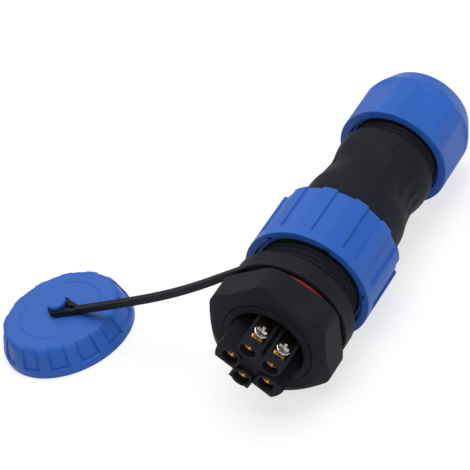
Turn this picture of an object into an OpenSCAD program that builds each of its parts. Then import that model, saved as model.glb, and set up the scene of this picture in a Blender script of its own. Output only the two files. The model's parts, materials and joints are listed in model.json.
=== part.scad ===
// Five-pole circular connector, mated: panel socket, cable plug and tethered dust cap.
// Millimetres. The connector's axis is Y, from the terminals to the cable gland.
// The origin is on that axis at the rear face of the socket's flange, and Z is up.

/* [Socket shell] */
// Outside of the rear thread that goes through the panel
panel_thread_d = 20; // [19:0.1:21]
// Length of the rear thread tube behind the flange
rear_tube_len = 10.6; // [10:0.1:12]
// Flange across
flange_d = 27.6; // [26:0.1:29]
// Flange thickness
flange_t = 3.35; // [2.5:0.05:4.5]
// Bevel on the flange's front edge
flange_bevel = 0.7; // [0.3:0.1:1]
// Outside of the front coupling thread
coupling_d = 23.2; // [22.8:0.1:23.8]
// Coupling thread that shows between flange and ring
thread_show = 4.7; // [3.5:0.1:6]

/* [Panel nut and gasket] */
// Nut across its flats
nut_flats = 26.6; // [25.6:0.1:28]
// Nut thickness
nut_t = 7.5; // [5.5:0.1:7.8]
// Nut across its rounded corners
nut_corners = 29.5; // [28.4:0.1:30.6]
// How far the chamfer cone reaches down the nut's corners
nut_chamfer = 1.35; // [0.8:0.05:2.2]
// Direction of one nut corner about the axis, in degrees
nut_corner = 17; // [0:1:59]
// Gasket across
gasket_d = 25.8; // [24.4:0.1:27]
// Gasket thickness
gasket_t = 0.9; // [0.6:0.1:1.4]
// Free gap between the strap's loop and the gasket
gasket_gap = 0.3; // [0.2:0.1:0.9]

/* [Terminals] */
// Circle on which the five contacts lie
pole_circle_d = 9.6; // [9.2:0.1:9.8]
// Terminal block beyond the end of the rear tube
terminal_len = 7; // [6.4:0.1:8.5]
// Half width of a terminal cell
cell_half = 2.4; // [2.25:0.05:2.45]
// Depth of the terminal block's floor inside the rear tube
floor_depth = 4.1; // [2:0.1:5]
// Direction the two upper clamp screws face, in degrees about the axis
terminal_up = 43; // [0:1:90]
// Wire entry hole in the end of a cell
entry_d = 3.6; // [3:0.1:3.8]
// Contact pin diameter
pin_d = 2; // [1.6:0.1:2.2]
// Wire hole in a clamp block
wire_hole_d = 2; // [1.6:0.1:2.2]

/* [Coupling ring] */
// Ring across its ribs
ring_d = 28.8; // [28:0.1:31]
// Ring length
ring_len = 15.6; // [15.2:0.1:17]
// Smooth band at the ring's front
ring_band = 2.35; // [1.5:0.05:4]
// Number of grip ribs on the ring
ring_ribs = 12; // [6:1:16]
// Share of each rib pitch that is rib
ring_rib_share = 0.44; // [0.3:0.01:0.6]
// Depth of the panels between the ribs
grip_depth = 0.55; // [0.2:0.05:0.8]
// Direction of one ring rib about the axis, in degrees
ring_rib_turn = 48; // [0:1:59]

/* [Back body] */
// Body length from its front face to the collar's end
body_len = 23.8; // [23.2:0.1:27]
// Body across its front end
body_front_d = 23.2; // [22.6:0.1:24.5]
// Body across its waist
waist_d = 20; // [19.5:0.1:21.4]
// Body across its rear collar
collar_d = 22; // [21.4:0.1:23.4]
// Distance of the waist from the body's front face
waist_at = 14.8; // [13.6:0.1:16]
// Grip ribs on each side of the body
body_ribs = 5; // [1:1:7]
// Angle between grip ribs
body_rib_pitch = 18; // [14:1:22]
// Angle that a grip rib takes up
body_rib_width = 8.5; // [6:0.5:12]
// Direction of the middle rib of one side about the axis, in degrees
body_rib_turn = 12; // [-30:1:30]

/* [Gland] */
// Outside of the gland thread
gland_thread_d = 20; // [19.4:0.1:20.4]
// Gland thread that shows between body and gland nut
gland_show = 3.2; // [3:0.1:5]
// Gland nut across its rims
gland_d = 25.5; // [24.8:0.1:27]
// Gland nut across its flats
gland_flats = 23.9; // [23:0.1:25]
// Gland nut length
gland_len = 17.5; // [16.8:0.1:19]
// Direction of one gland nut corner about the axis, in degrees
gland_corner = 20; // [0:1:59]
// Bore of the gland's rubber bush, which is the cable size
cable_d = 10; // [7:0.1:11]

/* [Dust cap and strap] */
// Cap across its rim
cap_d = 30.6; // [29.4:0.1:33]
// Cap height without its button
cap_h = 7.5; // [7:0.1:9]
// Rounding of the cap's top edge
cap_round = 5.3; // [3:0.1:5.4]
// Rim band below the cap's panels
cap_band = 1.9; // [1.4:0.1:3]
// Depth of the panels between the cap's ribs
cap_grip = 0.5; // [0.4:0.05:1]
// Number of grip ribs on the cap
cap_ribs = 13; // [8:1:16]
// Share of each rib pitch that is rib
cap_rib_share = 0.46; // [0.3:0.01:0.6]
// Direction of one cap rib, in degrees
cap_rib_turn = -20; // [-30:1:30]
// Distance of the cap's centre from the connector's axis
cap_away = 63.35; // [56:0.05:74]
// Sideways angle of the strap, in degrees
strap_skew = 1.8; // [0:0.05:4]
// Strap width, which is also its loop's thickness
strap_w = 1.5; // [1.2:0.1:2]
// Strap thickness
strap_t = 1.4; // [1:0.1:1.6]
// Where the strap leaves its loop, in degrees about the axis
strap_leaves = 113.5; // [100:0.5:125]
// Cap button across its head
button_d = 4.2; // [3.8:0.1:5]

/* [Hidden] */
$fn = 96;

black = [0.13, 0.13, 0.15];
dark = [0.09, 0.09, 0.10];
blue = [0.20, 0.40, 0.76];
red = [0.76, 0.18, 0.14];
brass = [0.80, 0.61, 0.27];
nickel = [0.80, 0.80, 0.82];

// Radial clearance where one piece turns or slides in another
run_gap = 0.06;
// Clearance where moving pieces only pass each other
free_gap = 0.35;
// Gap between faces that bear on each other and turn
face_gap = 0.1;
// Clearance of pieces that are fixed together
seat_gap = 0.03;
// Break on a moulded edge
edge = 0.3;
// Lead-in chamfer at the end of a thread
lead = 0.5;
// How far a cut runs past the face that it starts from
past = 1;

// Walls and steps of the shells, from the outside in
rear_wall = 1.7;
coupling_wall = 2.1;
skirt_wall = 1.55;
collar_step = 0.4;
lip_step = 0.9;
neck_step = 1;
neck_wall = 0.95;
gland_wall = 2.1;
bush_ledge = 1.9;

// Radii of the socket and the coupling
panel_r = panel_thread_d / 2;
rear_bore_r = panel_r - rear_wall;
flange_r = flange_d / 2;
coupling_r = coupling_d / 2;
skirt_r = coupling_r - coupling_wall;
front_bore_r = skirt_r + run_gap;
skirt_bore_r = skirt_r - skirt_wall;
insert_r = skirt_bore_r - free_gap;
carrier_r = insert_r - face_gap;
collar_r = coupling_r - collar_step;
hub_r = collar_r - lip_step;
neck_r = hub_r - neck_step;
neck_bore_r = neck_r - neck_wall;
ring_r = ring_d / 2;
ring_base_r = ring_r - grip_depth;
ring_mouth_r = (coupling_r + ring_base_r) / 2;

// Notches in the inner edge of the ring's front
ring_notches = 6;
ring_notch_turn = 51;
ring_notch_w = 1.5;
ring_notch_depth = 0.8;

// Lengths along the axis
web_rear = 1;
web_t = 4;
mouth_len = 1.25;
thread_engage = 6.3;
face_depth = 2;
face_apart = 0.6;
pin_reach = 6.1;
skirt_reach = 6;
seal_len = 1.3;
collar_len = 2.3;
hub_seat = 0.4;
oring_room = 1.7;
neck_len = 7.8;
gland_tube_len = 10.4;
body_draft = 0.1;
waist_fore = 8;
waist_aft = 7;
rib_fore = 7;
rib_aft = 6;
rib_rise = 0.5;

// Places along the axis
web_front = web_rear + web_t;
ring_front = flange_t + thread_show;
ring_rear = ring_front + ring_len;
ring_thread_front = ring_front + mouth_len;
tube_front = ring_thread_front + thread_engage;
socket_face = tube_front - face_depth;
plug_face = socket_face + face_apart;
pin_tip = socket_face - pin_reach;
skirt_tip = tube_front - skirt_reach;
collar_front = tube_front + seal_len;
collar_rear = collar_front + collar_len;
body_front = ring_rear + free_gap;
hub_rear = body_front + hub_seat;
neck_rear = hub_rear + neck_len;
body_rear = body_front + body_len;
waist_y = body_front + waist_at;
gland_front = body_rear + gland_show;
gland_rear = gland_front + gland_len;
gland_tube_end = body_rear + gland_tube_len;
tube_rear = -rear_tube_len;
floor_y = tube_rear + floor_depth;
cell_end = tube_rear - terminal_len;
nut_rear = -(strap_w + gasket_gap + gasket_t + face_gap);
nut_front = nut_rear - nut_t;
table_z = -ring_r;

// Terminal cells, contacts and clamp screws
pole_r = pole_circle_d / 2;
pin_r = pin_d / 2;
wire_r = wire_hole_d / 2;
wire_depth = 5.6;
entry_r = entry_d / 2;
entry_len = 2;
top_flat = 2.2;
side_flat = 2.5;
low_flat = 1.8;
core_in = 0.2;
core_step = 0.9;
pocket_wall = 1.5;
contact_r = 1.55;
sleeve_lap = 0.4;
tip_len = 0.6;
block_half = 1.6;
block_up = 1.45;
pocket_half = block_half + face_gap;
pocket_h = 2 * block_up + side_flat;
block_front = cell_end + entry_len;
block_end = floor_y - pocket_wall - face_gap;
screw_back = 2.4;
plug_screw_back = 2;
screw_y = block_front + screw_back;
screw_head_r = 1.6;
screw_head_h = 0.95;
screw_dome = 0.25;
screw_r = 0.9;
recess_w = 0.44;
recess_len = 2.2;
recess_depth = 0.45;
carrier_step = 5.8;
carrier_len = 14.8;
plug_step = plug_face + carrier_step;
plug_floor = plug_face + carrier_len;
plug_block_lift = 0.4;
plug_block = plug_floor + plug_block_lift;
plug_block_len = 5.2;
plug_screw_y = plug_block + plug_block_len - plug_screw_back;
keeper_t = 1.6;
keeper_w = 1.25;

// Gland
gland_r = gland_d / 2;
gland_thread_r = gland_thread_d / 2;
gland_bore_r = gland_thread_r - gland_wall;
cable_r = cable_d / 2;
bush_short = 3.5;
bush_sunk = 0.4;
claw_lip = 0.4;
claw_lip_t = 0.8;
claw_slot = 1;
claw_out = 4;
claw_end = gland_tube_end + claw_out;
washer_out = 3.6;
washer_front = gland_tube_end + washer_out;
washer_t = 0.8;
washer_r = gland_thread_r - claw_lip;
gland_bead = 0.9;
gland_cone = 5.2;
gland_cone_in = 2.05;
gland_exit_len = 1;
oring_r = 0.48;

// Cap and strap
cap_r = cap_d / 2;
cap_top = table_z + cap_h;
cap_bore_r = coupling_r + run_gap;
cap_top_wall = 1.4;
cap_inner_h = cap_h - cap_top_wall;
cap_mouth = 1.2;
cap_seal_t = 1.2;
cap_seal_w = 2.1;
stem_r = 1.45;
stem_free = 0.25;
stem_h = strap_t + stem_free;
button_r = button_d / 2;
button_t = 0.6;
button_dome = 0.3;
groove_in = 0.5;
groove_r = cap_r - cap_round - groove_in;
groove_w = 0.5;
eyelet_r = 3.2;
eyelet_reach = 5.4;
eyelet_z = cap_top + face_gap;
keyhole_w = 0.8;
keyhole_reach = 4.2;
tail_lap = 0.4;
leave_pull = 16;
meet_pull = 22;
meet_angle = 9;
loop_in = 0.15;
loop_r = flange_r - loop_in;
loop_bore_r = panel_r + free_gap;
leave_r = loop_r - strap_t / 2;
leave_x = leave_r * cos(strap_leaves);
leave_z = leave_r * sin(strap_leaves);
rim_run = sqrt(pow(flange_r, 2) - pow(leave_r - strap_t / 2, 2));
bend_x = leave_x - rim_run * sin(strap_leaves);
cap_x = -cap_away;
cap_y = -strap_w / 2 + (bend_x - cap_x) * tan(strap_skew);

// Stands a shape that was drawn along Z on the connector's axis, with its base at y
module on_axis(y) {
    translate([0, y, 0]) rotate([-90, 0, 0]) children();
}

// Turns a shape about the connector's axis, so that its +X side faces the given direction
module turned(angle) {
    rotate([0, -angle, 0]) children();
}

// Turns a profile of radius and y about the connector's axis
module lathe(points) {
    rotate([-90, 0, 0]) rotate_extrude() polygon(points);
}

// Sector of a lathe body, centred on the given direction
module lathe_sector(direction, angle, points) {
    turned(direction)
        rotate([-90, 0, 0])
            rotate([0, 0, -angle / 2])
                rotate_extrude(angle = angle) polygon(points);
}

// Plain ring from y0 to y1
module ring(y0, y1, r_out, r_in) {
    on_axis(y0) difference() {
        cylinder(h = y1 - y0, r = r_out);
        translate([0, 0, -past]) cylinder(h = y1 - y0 + 2 * past, r = r_in);
    }
}

// Plain round bar from y0 to y1
module bar(y0, y1, r) {
    on_axis(y0) cylinder(h = y1 - y0, r = r);
}

// Extrudes an outline of x and z towards +Y
module slab(y0, y1) {
    translate([0, y1, 0]) rotate([90, 0, 0]) linear_extrude(height = y1 - y0) children();
}

// Angle of contact number k from the direction of the upper screws
function pole_angle(k) = 36 + 72 * (k - 1);

// Puts a shape at contact number k, with its screw side facing out
module at_pole(k) {
    a = pole_angle(k);
    rotate([0, 90 - terminal_up, 0])
        translate([pole_r * sin(a), 0, pole_r * cos(a)])
            rotate([0, cos(a) > 0 ? 0 : 180, 0]) children();
}

// Rear thread tube, flange and front coupling tube in one moulding
module socket_shell() {
    color(black) lathe([
        [rear_bore_r, tube_rear],
        [panel_r - edge, tube_rear],
        [panel_r, tube_rear + edge],
        [panel_r, 0],
        [flange_r, 0],
        [flange_r, flange_t - flange_bevel],
        [flange_r - flange_bevel, flange_t],
        [coupling_r, flange_t],
        [coupling_r, tube_front - lead],
        [coupling_r - lead, tube_front],
        [front_bore_r, tube_front],
        [front_bore_r, web_front],
        [insert_r + seat_gap, web_front],
        [insert_r + seat_gap, web_rear],
        [rear_bore_r, web_rear]
    ]);
}

// Distance from contact number k to the flat on its cell's screw side
function cell_flat(k) = k == 3 ? low_flat : k == 2 || k == 4 ? side_flat : top_flat;

// Outline of one terminal cell: round towards the middle, flat on the screw side
module cell_outline(flat) {
    circle(r = cell_half);
    translate([-cell_half, 0]) square([2 * cell_half, flat]);
}

// Outer walls of the two side cells, which end on the round of the block
module side_walls() {
    out = pole_r * sin(pole_angle(2));
    low = pole_r * cos(pole_angle(2)) - side_flat;
    intersection() {
        circle(r = rear_bore_r - face_gap);
        for (side = [-1, 1]) translate([side > 0 ? out : -rear_bore_r, low])
            square([rear_bore_r - out, side_flat + cell_half]);
    }
}

// Terminal block: a stepped core with five cells behind it
module socket_insert() {
    color(dark) difference() {
        union() {
            bar(floor_y, socket_face, insert_r);
            bar(floor_y, web_rear, rear_bore_r - seat_gap);
            bar(cell_end + core_step, floor_y + past, pole_r - core_in);
            for (k = [1 : 5]) at_pole(k) slab(cell_end, floor_y + past) cell_outline(cell_flat(k));
            rotate([0, 90 - terminal_up, 0]) slab(cell_end, floor_y + past) side_walls();
        }
        for (k = [1 : 5]) at_pole(k) {
            bar(block_end - sleeve_lap, socket_face + past, contact_r + seat_gap);
            bar(cell_end - past, block_front, entry_r);
            translate([-pocket_half, block_front - face_gap, -block_up - face_gap])
                cube([2 * pocket_half, block_end - block_front + 2 * face_gap, pocket_h]);
        }
    }
}

// Screw hole and wire hole of a clamp block whose rear end is at y and whose inside is towards dir
module clamp_holes(rear, dir, screw) {
    translate([0, rear, 0]) rotate([-90 * dir, 0, 0]) translate([0, 0, -past])
        cylinder(h = wire_depth + past, r = wire_r);
    translate([0, screw, 0]) cylinder(h = block_up + past, r = screw_r + seat_gap);
}

// Brass sleeve contact with its clamp block
module socket_contact() {
    difference() {
        union() {
            bar(block_end - sleeve_lap, socket_face - edge, contact_r);
            translate([-block_half, block_front, -block_up])
                cube([2 * block_half, block_end - block_front, 2 * block_up]);
        }
        bar(pin_tip - past, socket_face, pin_r + seat_gap);
        clamp_holes(block_front, 1, screw_y);
        translate([0, block_front, block_up])
            rotate([45, 0, 0]) cube([4 * block_half, 2 * edge, 2 * edge], center = true);
    }
}

// Pan-head clamp screw with a cross recess
module clamp_screw() {
    difference() {
        union() {
            translate([0, 0, wire_r + seat_gap]) cylinder(h = block_up - wire_r + edge, r = screw_r);
            translate([0, 0, block_up + seat_gap]) cylinder(h = screw_head_h - screw_dome, r = screw_head_r);
            translate([0, 0, block_up + screw_head_h - screw_dome])
                cylinder(h = screw_dome, r1 = screw_head_r, r2 = screw_head_r - edge);
        }
        for (turn = [0, 90])
            translate([0, 0, block_up + screw_head_h - recess_depth + past / 2]) rotate([0, 0, turn])
                cube([recess_len, recess_w, past], center = true);
    }
}

module socket_contact_1() {
    color(brass) at_pole(1) socket_contact();
}

module socket_contact_2() {
    color(brass) at_pole(2) socket_contact();
}

module socket_contact_3() {
    color(brass) at_pole(3) socket_contact();
}

module socket_contact_4() {
    color(brass) at_pole(4) socket_contact();
}

module socket_contact_5() {
    color(brass) at_pole(5) socket_contact();
}

module socket_clamp_screws() {
    color(nickel) for (k = [1 : 5]) at_pole(k) translate([0, screw_y, 0]) clamp_screw();
}

// Hexagon nut: a hexagon prism within a chamfered lathe body
module hex_nut() {
    corner_r = nut_corners / 2;
    face_r = corner_r - nut_chamfer / tan(30);
    bore_r = panel_r + run_gap;
    color(black) intersection() {
        turned(nut_corner) on_axis(nut_front) cylinder(h = nut_t, r = nut_flats / 2 / cos(30), $fn = 6);
        lathe([
            [bore_r, nut_front + lead],
            [bore_r + lead, nut_front],
            [face_r, nut_front],
            [corner_r, nut_front + nut_chamfer],
            [corner_r, nut_rear - edge],
            [corner_r - 2 * edge, nut_rear],
            [bore_r + lead, nut_rear],
            [bore_r, nut_rear - lead]
        ]);
    }
}

// Flat gasket that rides with the nut on the rear tube
module panel_gasket() {
    rear = nut_rear + face_gap;
    color(red) ring(rear, rear + gasket_t, gasket_d / 2, loop_bore_r);
}

// Point t (0 to 1) of the curve through four control points
function curve(p, t) = pow(1 - t, 3) * p[0] + 3 * pow(1 - t, 2) * t * p[1]
    + 3 * (1 - t) * t * t * p[2] + t * t * t * p[3];

// Direction of that curve at t
function heading(p, t) = 3 * pow(1 - t, 2) * (p[1] - p[0]) + 6 * (1 - t) * t * (p[2] - p[1])
    + 3 * t * t * (p[3] - p[2]);

// Point beside the curve at t, to its left by the distance off
function beside(p, t, off) = curve(p, t)
    + off * [-heading(p, t)[1], heading(p, t)[0]] / norm(heading(p, t));

// Moulded strap: loop on the rear tube, tail, and eyelet on the cap's button
module tether_strap() {
    start = [leave_x, leave_z];
    finish = [cap_x + eyelet_reach - tail_lap, eyelet_z + strap_t / 2];
    out = [-sin(strap_leaves), cos(strap_leaves)];
    back = [cos(meet_angle), sin(meet_angle)];
    spine = [start, start + leave_pull * out, finish + meet_pull * back, finish];
    steps = 20;
    upper = [for (i = [0 : steps]) beside(spine, i / steps, -strap_t / 2)];
    lower = [for (i = [0 : steps]) beside(spine, 1 - i / steps, strap_t / 2)];
    color(dark) {
        ring(-strap_w, 0, loop_r, loop_bore_r);
        translate([bend_x, 0, 0]) rotate([0, 0, -strap_skew]) translate([-bend_x, 0, 0])
            slab(-strap_w, 0) polygon(concat(upper, lower));
        translate([cap_x, cap_y, eyelet_z]) rotate([0, 0, -strap_skew])
            linear_extrude(height = strap_t) difference() {
                union() {
                    circle(r = eyelet_r);
                    polygon([
                        [0, eyelet_r],
                        [eyelet_reach, strap_w / 2],
                        [eyelet_reach, -strap_w / 2],
                        [0, -eyelet_r]
                    ]);
                }
                circle(r = stem_r + free_gap);
                translate([0, -keyhole_w / 2]) square([keyhole_reach, keyhole_w]);
            }
    }
}

// Half outline of the cap, with its rounded top edge
module cap_outline() {
    square([cap_r - cap_round, cap_h]);
    square([cap_r, cap_h - cap_round]);
    translate([cap_r - cap_round, cap_h - cap_round]) intersection() {
        circle(r = cap_round);
        square(cap_round);
    }
}

// Section of a grip panel: it runs out near the top and ends square above the rim band
module cap_panel() {
    difference() {
        translate([cap_r - cap_round, cap_band]) square([cap_round + past, cap_h]);
        translate([-cap_grip, cap_grip / 4]) cap_outline();
    }
}

// Dust cap with grip ribs, a ring groove on top, and the button that holds the strap
module cap() {
    pitch = 360 / cap_ribs;
    panel = pitch * (1 - cap_rib_share);
    color(blue) translate([cap_x, cap_y, table_z]) {
        difference() {
            rotate_extrude() cap_outline();
            for (i = [0 : cap_ribs - 1])
                rotate([0, 0, cap_rib_turn + (i + 0.5) * pitch - panel / 2])
                    rotate_extrude(angle = panel) cap_panel();
            translate([0, 0, -past]) cylinder(h = cap_inner_h + past, r = cap_bore_r);
            translate([0, 0, -past]) cylinder(h = cap_mouth + past, r = cap_bore_r + cap_mouth);
            translate([0, 0, cap_h - edge]) difference() {
                cylinder(h = past, r = groove_r + groove_w / 2);
                translate([0, 0, -past]) cylinder(h = 3 * past, r = groove_r - groove_w / 2);
            }
        }
        translate([0, 0, cap_h - lead]) cylinder(h = lead + stem_h, r = stem_r);
        translate([0, 0, cap_h + stem_h]) cylinder(h = button_t, r = button_r);
        translate([0, 0, cap_h + stem_h + button_t - seat_gap])
            cylinder(h = button_dome, r1 = button_r, r2 = button_r - edge);
    }
}

// Flat rubber ring against the inside of the cap's top
module cap_seal() {
    color(dark) translate([cap_x, cap_y, table_z + cap_inner_h - cap_seal_t]) difference() {
        cylinder(h = cap_seal_t, r = cap_bore_r - edge);
        translate([0, 0, -past]) cylinder(h = cap_seal_t + 2 * past, r = cap_bore_r - edge - cap_seal_w);
    }
}

// Plug barrel: skirt, collar that the ring pulls on, hub that it turns on, threaded neck
module plug_shell() {
    color(black) lathe([
        [skirt_bore_r, skirt_tip],
        [skirt_r - edge, skirt_tip],
        [skirt_r, skirt_tip + edge],
        [skirt_r, collar_front],
        [collar_r, collar_front],
        [collar_r, collar_rear],
        [hub_r, collar_rear],
        [hub_r, hub_rear],
        [neck_r, hub_rear],
        [neck_r, neck_rear],
        [neck_bore_r, neck_rear],
        [neck_bore_r, plug_step],
        [carrier_r + seat_gap, plug_step],
        [carrier_r + seat_gap, plug_face + edge],
        [skirt_bore_r, plug_face + edge]
    ]);
}

// Rubber ring on the skirt, pressed between the collar and the socket's end
module interface_seal() {
    color(dark) ring(tube_front + face_gap, collar_front, coupling_r - lead, skirt_r + seat_gap);
}

// Contact carrier of the plug, with a shoulder that the ring behind it holds
module plug_insert() {
    color(dark) difference() {
        union() {
            bar(plug_face, plug_floor, carrier_r);
            bar(plug_step + seat_gap, plug_floor, neck_bore_r - seat_gap);
        }
        for (k = [1 : 5]) at_pole(k) bar(plug_face - past, plug_floor + past, contact_r + seat_gap);
    }
}

// Ring that keeps the carrier in the plug shell
module insert_ring() {
    color(black)
        ring(plug_floor + seat_gap, plug_floor + keeper_t, neck_bore_r - seat_gap, neck_bore_r - keeper_w);
}

// Pin contact with its clamp block
module plug_contact() {
    difference() {
        union() {
            bar(pin_tip + tip_len - seat_gap, plug_face + past, pin_r);
            on_axis(pin_tip) cylinder(h = tip_len, r1 = pin_r / 2, r2 = pin_r);
            bar(plug_face, plug_block + sleeve_lap, contact_r);
            translate([-block_half, plug_block, -block_up])
                cube([2 * block_half, plug_block_len, 2 * block_up]);
        }
        clamp_holes(plug_block + plug_block_len, -1, plug_screw_y);
    }
}

module plug_contact_1() {
    color(brass) at_pole(1) plug_contact();
}

module plug_contact_2() {
    color(brass) at_pole(2) plug_contact();
}

module plug_contact_3() {
    color(brass) at_pole(3) plug_contact();
}

module plug_contact_4() {
    color(brass) at_pole(4) plug_contact();
}

module plug_contact_5() {
    color(brass) at_pole(5) plug_contact();
}

module plug_clamp_screws() {
    color(nickel) for (k = [1 : 5]) at_pole(k) translate([0, plug_screw_y, 0]) clamp_screw();
}

// Coupling ring: front band, grip ribs, inner thread bore, and a lip that turns on the plug's hub
module coupling_ring() {
    lip_front = collar_rear + face_gap;
    rib = 360 / ring_ribs * ring_rib_share;
    sunk_r = ring_base_r - 2 * edge;
    color(blue) difference() {
        union() {
            lathe([
                [ring_mouth_r, ring_front],
                [ring_base_r - edge, ring_front],
                [ring_base_r, ring_front + edge],
                [ring_base_r, ring_rear - 3 * edge],
                [ring_base_r - 3 * edge, ring_rear],
                [hub_r + run_gap + edge, ring_rear],
                [hub_r + run_gap, ring_rear - edge],
                [hub_r + run_gap, lip_front],
                [collar_r + free_gap, lip_front],
                [collar_r + free_gap, tube_front + lead],
                [coupling_r + run_gap, tube_front + lead],
                [coupling_r + run_gap, ring_thread_front],
                [ring_mouth_r, ring_thread_front]
            ]);
            lathe([
                [sunk_r, ring_front],
                [ring_r - edge, ring_front],
                [ring_r, ring_front + edge],
                [ring_r, ring_front + ring_band],
                [sunk_r, ring_front + ring_band]
            ]);
            for (i = [0 : ring_ribs - 1]) lathe_sector(ring_rib_turn + i * 360 / ring_ribs, rib, [
                [sunk_r, ring_front + ring_band - lead],
                [ring_r, ring_front + ring_band - lead],
                [ring_r, ring_rear - 2 * edge],
                [ring_r - 2 * edge, ring_rear],
                [sunk_r - 2 * edge, ring_rear],
                [sunk_r - 2 * edge, ring_rear - 5 * edge],
                [sunk_r, ring_rear - 6 * edge]
            ]);
        }
        for (i = [0 : ring_notches - 1]) turned(ring_notch_turn + i * 360 / ring_notches)
            translate([coupling_r, ring_front - past, -ring_notch_w / 2])
                cube([ring_base_r - edge - coupling_r, ring_notch_depth + past, ring_notch_w]);
    }
}

// Share of a half cosine: 0 at the start and 1 at the full length
function swell(along, length) = (1 - cos(180 * min(1, along / length))) / 2;

// Radius of the waisted body at y
function waist_profile(y) = waist_d / 2 + (y < waist_y
    ? (body_front_d / 2 - body_draft - waist_d / 2) * swell(waist_y - y, waist_fore)
    : (collar_d / 2 - waist_d / 2) * swell(y - waist_y, waist_aft));

// Waisted body with grip ribs on both sides, and the gland thread behind it
module back_body() {
    front_r = body_front_d / 2;
    fore = [for (i = [0 : 6]) waist_y - waist_fore + i * waist_fore / 6];
    aft = [for (i = [1 : 5]) waist_y + i * waist_aft / 5];
    seat = gland_bore_r - bush_ledge;
    half = (body_ribs - 1) / 2;
    color(black) difference() {
        union() {
            lathe(concat(
                [
                    [seat, body_front],
                    [front_r - edge, body_front],
                    [front_r, body_front + edge]
                ],
                [for (y = fore) [waist_profile(y), y]],
                [for (y = aft) [waist_profile(y), y]],
                [
                    [collar_d / 2, body_rear - edge],
                    [collar_d / 2 - edge, body_rear],
                    [gland_thread_r, body_rear],
                    [gland_thread_r, gland_tube_end - lead],
                    [gland_thread_r - lead, gland_tube_end],
                    [seat, gland_tube_end]
                ]
            ));
            for (mirrored = [0, 1], i = [-half : half]) {
                direction = body_rib_turn + i * body_rib_pitch;
                lathe_sector(mirrored == 1 ? 180 - direction : direction, body_rib_width, [
                    [neck_r, waist_y - rib_fore],
                    [front_r - edge, waist_y - rib_fore],
                    [waist_d / 2 + rib_rise, waist_y],
                    [collar_d / 2 - edge / 2, waist_y + rib_aft],
                    [neck_r, waist_y + rib_aft]
                ]);
            }
        }
        bar(body_front - past, body_front + oring_room, hub_r + seat_gap);
        bar(body_front, neck_rear + face_gap, neck_r + seat_gap);
        bar(neck_rear, body_rear - bush_ledge, neck_bore_r + edge);
        bar(body_rear - bush_sunk, gland_tube_end + past, gland_bore_r);
    }
}

// O-ring between the hub and the body
module body_seal() {
    color(dark) rotate([-90, 0, 0]) translate([0, 0, body_front + (hub_seat + oring_room) / 2])
        rotate_extrude() translate([(hub_r + neck_r) / 2 + seat_gap, 0]) circle(r = oring_r, $fn = 24);
}

// Rubber bush that closes on the cable
module gland_seal() {
    foot = body_rear - bush_sunk + seat_gap;
    color(dark) ring(foot, gland_tube_end - bush_short, gland_bore_r - face_gap, cable_r);
}

// Collet: a ring in the gland tube with eight slotted fingers
module gland_claw() {
    foot = gland_tube_end - bush_short + face_gap;
    lip = gland_tube_end + face_gap;
    seat_r = gland_bore_r - face_gap;
    bore_r = cable_r + 2 * edge;
    reach = gland_bore_r + claw_lip + past;
    color(black) difference() {
        lathe([
            [bore_r, foot],
            [seat_r, foot],
            [seat_r, lip],
            [gland_bore_r + claw_lip, lip],
            [gland_bore_r + claw_lip, lip + claw_lip_t],
            [gland_bore_r - 2 * edge, claw_end],
            [bore_r + edge, claw_end],
            [bore_r, claw_end - 2 * lead]
        ]);
        for (i = [0 : 3]) turned(i * 45) translate([-reach, lip + claw_lip_t / 2, -claw_slot / 2])
            cube([2 * reach, claw_out, claw_slot]);
    }
}

// Slip washer that rides inside the gland nut
module gland_washer() {
    color(black) ring(washer_front, washer_front + washer_t, washer_r, gland_bore_r + claw_lip + edge);
}

// Gland nut: front bead, six shallow flats, rear cone, and an inner cone for the collet
module gland_nut() {
    bead_end = gland_front + gland_bead;
    shoulder = gland_rear - gland_cone;
    pocket = washer_front - face_gap;
    pocket_end = washer_front + washer_t + face_gap;
    exit_r = cable_r + 3 * lead;
    color(blue) difference() {
        union() {
            lathe([
                [exit_r, gland_front],
                [gland_r - edge, gland_front],
                [gland_r, gland_front + edge],
                [gland_r, bead_end],
                [exit_r, bead_end]
            ]);
            intersection() {
                bar(bead_end - edge, shoulder + edge, gland_r);
                turned(gland_corner) on_axis(bead_end - edge)
                    cylinder(h = shoulder - bead_end + 2 * edge, r = gland_flats / 2 / cos(30), $fn = 6);
            }
            lathe([
                [exit_r - past, shoulder],
                [gland_r, shoulder],
                [gland_r, shoulder + edge],
                [gland_r - gland_cone_in, gland_rear - lead],
                [gland_r - gland_cone_in - lead, gland_rear],
                [exit_r - past, gland_rear]
            ]);
        }
        bar(gland_front - past, gland_front + mouth_len, gland_thread_r + 2 * claw_lip);
        bar(gland_front, pocket, gland_thread_r + run_gap);
        bar(pocket - lead, pocket_end, washer_r + run_gap);
        on_axis(pocket_end - seat_gap)
            cylinder(h = gland_rear - gland_exit_len - pocket_end, r1 = washer_r - edge, r2 = exit_r);
        bar(pocket_end, gland_rear + past, exit_r);
    }
}

socket_shell();
socket_insert();
socket_contact_1();
socket_contact_2();
socket_contact_3();
socket_contact_4();
socket_contact_5();
socket_clamp_screws();
hex_nut();
panel_gasket();
tether_strap();
cap();
cap_seal();
plug_shell();
interface_seal();
plug_insert();
insert_ring();
plug_contact_1();
plug_contact_2();
plug_contact_3();
plug_contact_4();
plug_contact_5();
plug_clamp_screws();
coupling_ring();
back_body();
body_seal();
gland_seal();
gland_claw();
gland_washer();
gland_nut();
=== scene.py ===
# %% [markdown]
# # A mated circular connector with its dust cap
# A panel socket, a cable plug screwed onto it, and a dust cap on a moulded strap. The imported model
# gives every piece its place and size. This lesson keeps the pieces that are right as they are, and
# rebuilds the ones that the eye rests on as fine surfaces with rounded edges, real threads and
# procedural finishes.

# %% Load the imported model
import json
import math

import bmesh
import bpy
import numpy as np
from mathutils import Matrix, Vector


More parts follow.
